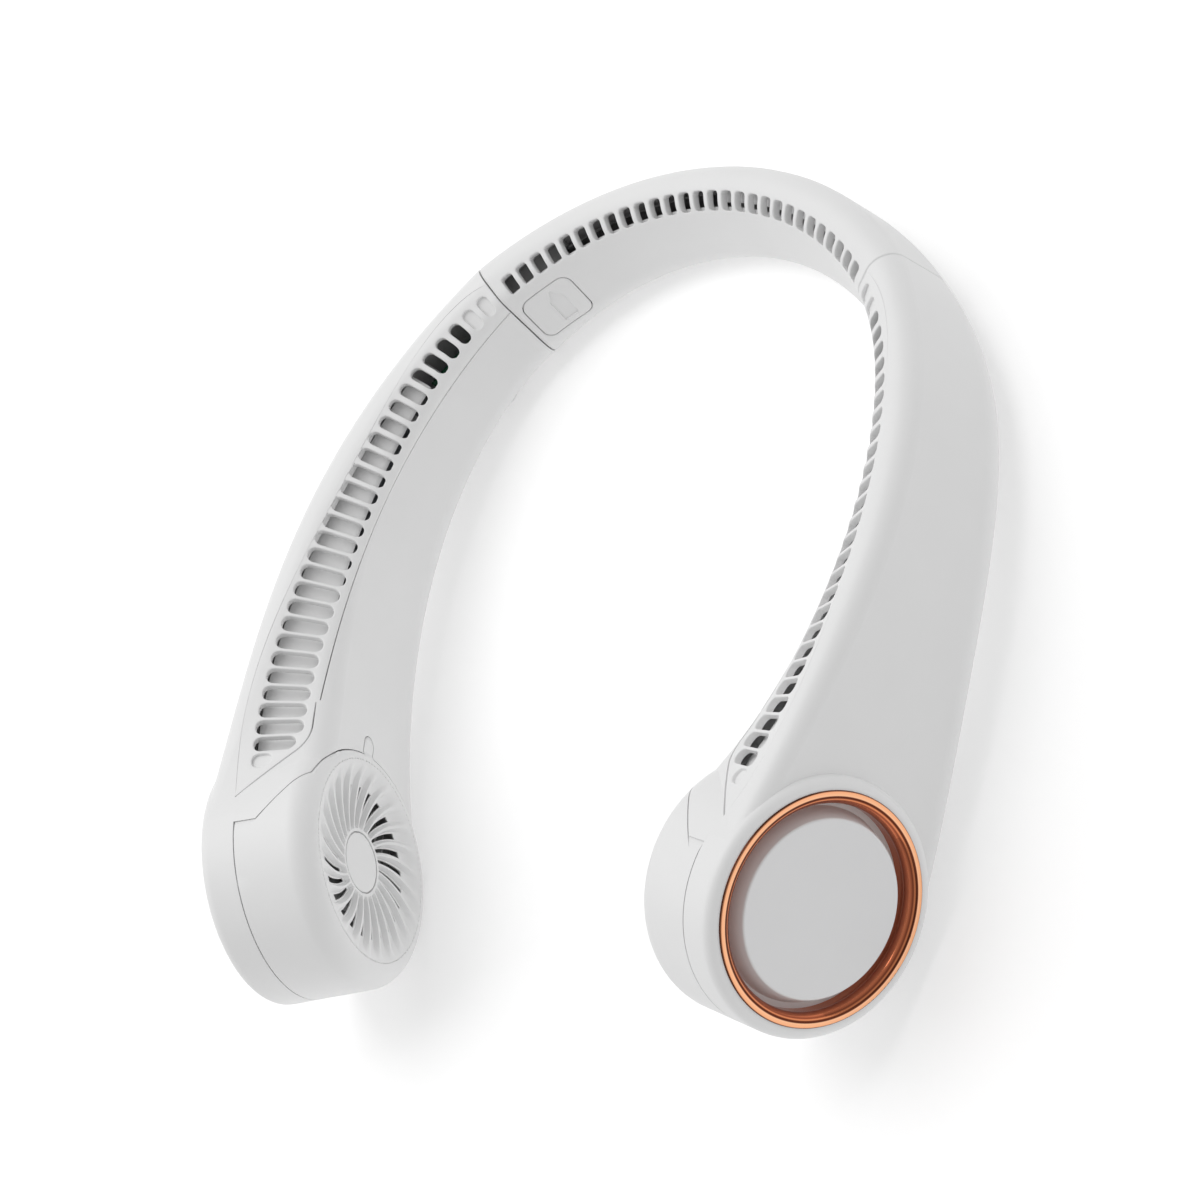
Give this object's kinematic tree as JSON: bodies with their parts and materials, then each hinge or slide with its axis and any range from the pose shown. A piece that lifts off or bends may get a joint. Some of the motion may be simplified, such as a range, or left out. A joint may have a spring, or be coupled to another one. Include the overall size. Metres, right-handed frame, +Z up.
{
  "type": "electric neck fan",
  "caption": "Hands-free neck fan: a soft rear sleeve joins two hollow arms with rows of air slots, a turbine behind a slatted intake and a copper-ringed cap at each end.",
  "frame": {"origin": "centre of the footprint, on the surface the fan lies on", "axes": "+X to the arm without the charging flap, +Y to the rear sleeve, +Z up as it lies on a table"},
  "size_m": [0.1966, 0.2148, 0.0645],
  "materials": {
    "shell_white": "fine matte",
    "vent_white": "fine matte",
    "cover_white": "fine matte",
    "sleeve_white": "soft matte silicone",
    "trim_copper": "polished copper plating",
    "cap_grey": "satin",
    "inner_grey": "matte",
    "impeller_grey": "satin",
    "motor_steel": "ground",
    "winding_copper": "enamelled wire",
    "battery_foil": "foil pouch",
    "board_green": "lacquered board",
    "harness_grey": "matte sheath",
    "switch_black": "matte"
  },
  "bodies": {
    "center": {"rear_sleeve": "sleeve_white", "left_core_block": "inner_grey", "right_core_block": "inner_grey", "flex_strip": "motor_steel", "wire_harness": "harness_grey", "usb_port": "motor_steel"},
    "port_flap": {"port_flap": "sleeve_white"},
    "power_button": {"power_button": "shell_white"},
    "left_arm": {"left_outer_shell": "shell_white", "left_inner_shell": "shell_white", "left_vent_strip": "vent_white", "left_trim_ring": "trim_copper", "left_end_cap": "cap_grey", "left_motor_mount": "inner_grey", "left_front_bearing": "motor_steel", "left_rear_bearing": "motor_steel", "left_stator": "winding_copper", "left_mount_screw_1": "motor_steel", "left_mount_screw_2": "motor_steel", "left_mount_screw_3": "motor_steel", "left_battery": "battery_foil", "left_board": "board_green", "left_end_plug": "inner_grey", "button_switch": "switch_black"},
    "left_turbine": {"left_rotor": "motor_steel", "left_shaft": "motor_steel", "left_impeller": "impeller_grey"},
    "left_cover": {"left_intake_cover": "cover_white"},
    "right_arm": {"right_outer_shell": "shell_white", "right_inner_shell": "shell_white", "right_vent_strip": "vent_white", "right_trim_ring": "trim_copper", "right_end_cap": "cap_grey", "right_motor_mount": "inner_grey", "right_front_bearing": "motor_steel", "right_rear_bearing": "motor_steel", "right_stator": "winding_copper", "right_mount_screw_1": "motor_steel", "right_mount_screw_2": "motor_steel", "right_mount_screw_3": "motor_steel", "right_battery": "battery_foil", "right_board": "board_green", "right_end_plug": "inner_grey"},
    "right_turbine": {"right_rotor": "motor_steel", "right_shaft": "motor_steel", "right_impeller": "impeller_grey"},
    "right_cover": {"right_intake_cover": "cover_white"}
  },
  "joints": [
    {"name": "left_arm_spread", "type": "hinge", "parent": "center", "child": "left_arm", "pos_m": [-0.06784, 0.08037, 0.01378], "axis": [0, -0.2061, -0.9785], "range_deg": [0, 10], "stiffness_Nm_per_rad": 1.5},
    {"name": "left_turbine_spin", "type": "hinge", "parent": "left_arm", "child": "left_turbine", "pos_m": [-0.0732, -0.07455, 0.032], "axis": [-0.9442, -0.2623, 0.1992], "continuous": true},
    {"name": "left_cover_pull", "type": "slide", "parent": "left_arm", "child": "left_cover", "axis": [0.9442, 0.2623, -0.1992], "range_m": [0, 0.03]},
    {"name": "right_arm_spread", "type": "hinge", "parent": "center", "child": "right_arm", "pos_m": [0.06784, 0.08037, 0.01378], "axis": [0, 0.2061, 0.9785], "range_deg": [0, 10], "stiffness_Nm_per_rad": 1.5},
    {"name": "right_turbine_spin", "type": "hinge", "parent": "right_arm", "child": "right_turbine", "pos_m": [0.0732, -0.07455, 0.032], "axis": [0.9442, -0.2623, 0.1992], "continuous": true},
    {"name": "right_cover_pull", "type": "slide", "parent": "right_arm", "child": "right_cover", "axis": [-0.9442, 0.2623, -0.1992], "range_m": [0, 0.03]},
    {"name": "port_flap_turn", "type": "hinge", "parent": "center", "child": "port_flap", "pos_m": [-0.04797, 0.07591, 0.02116], "axis": [-0.7683, -0.6264, 0.1319], "range_deg": [0, 90], "stiffness_Nm_per_rad": 0.002},
    {"name": "power_button_press", "type": "slide", "parent": "left_arm", "child": "power_button", "axis": [0, 0.2061, 0.9785], "range_m": [0, 0.0006], "stiffness_N_per_m": 400}
  ]
}
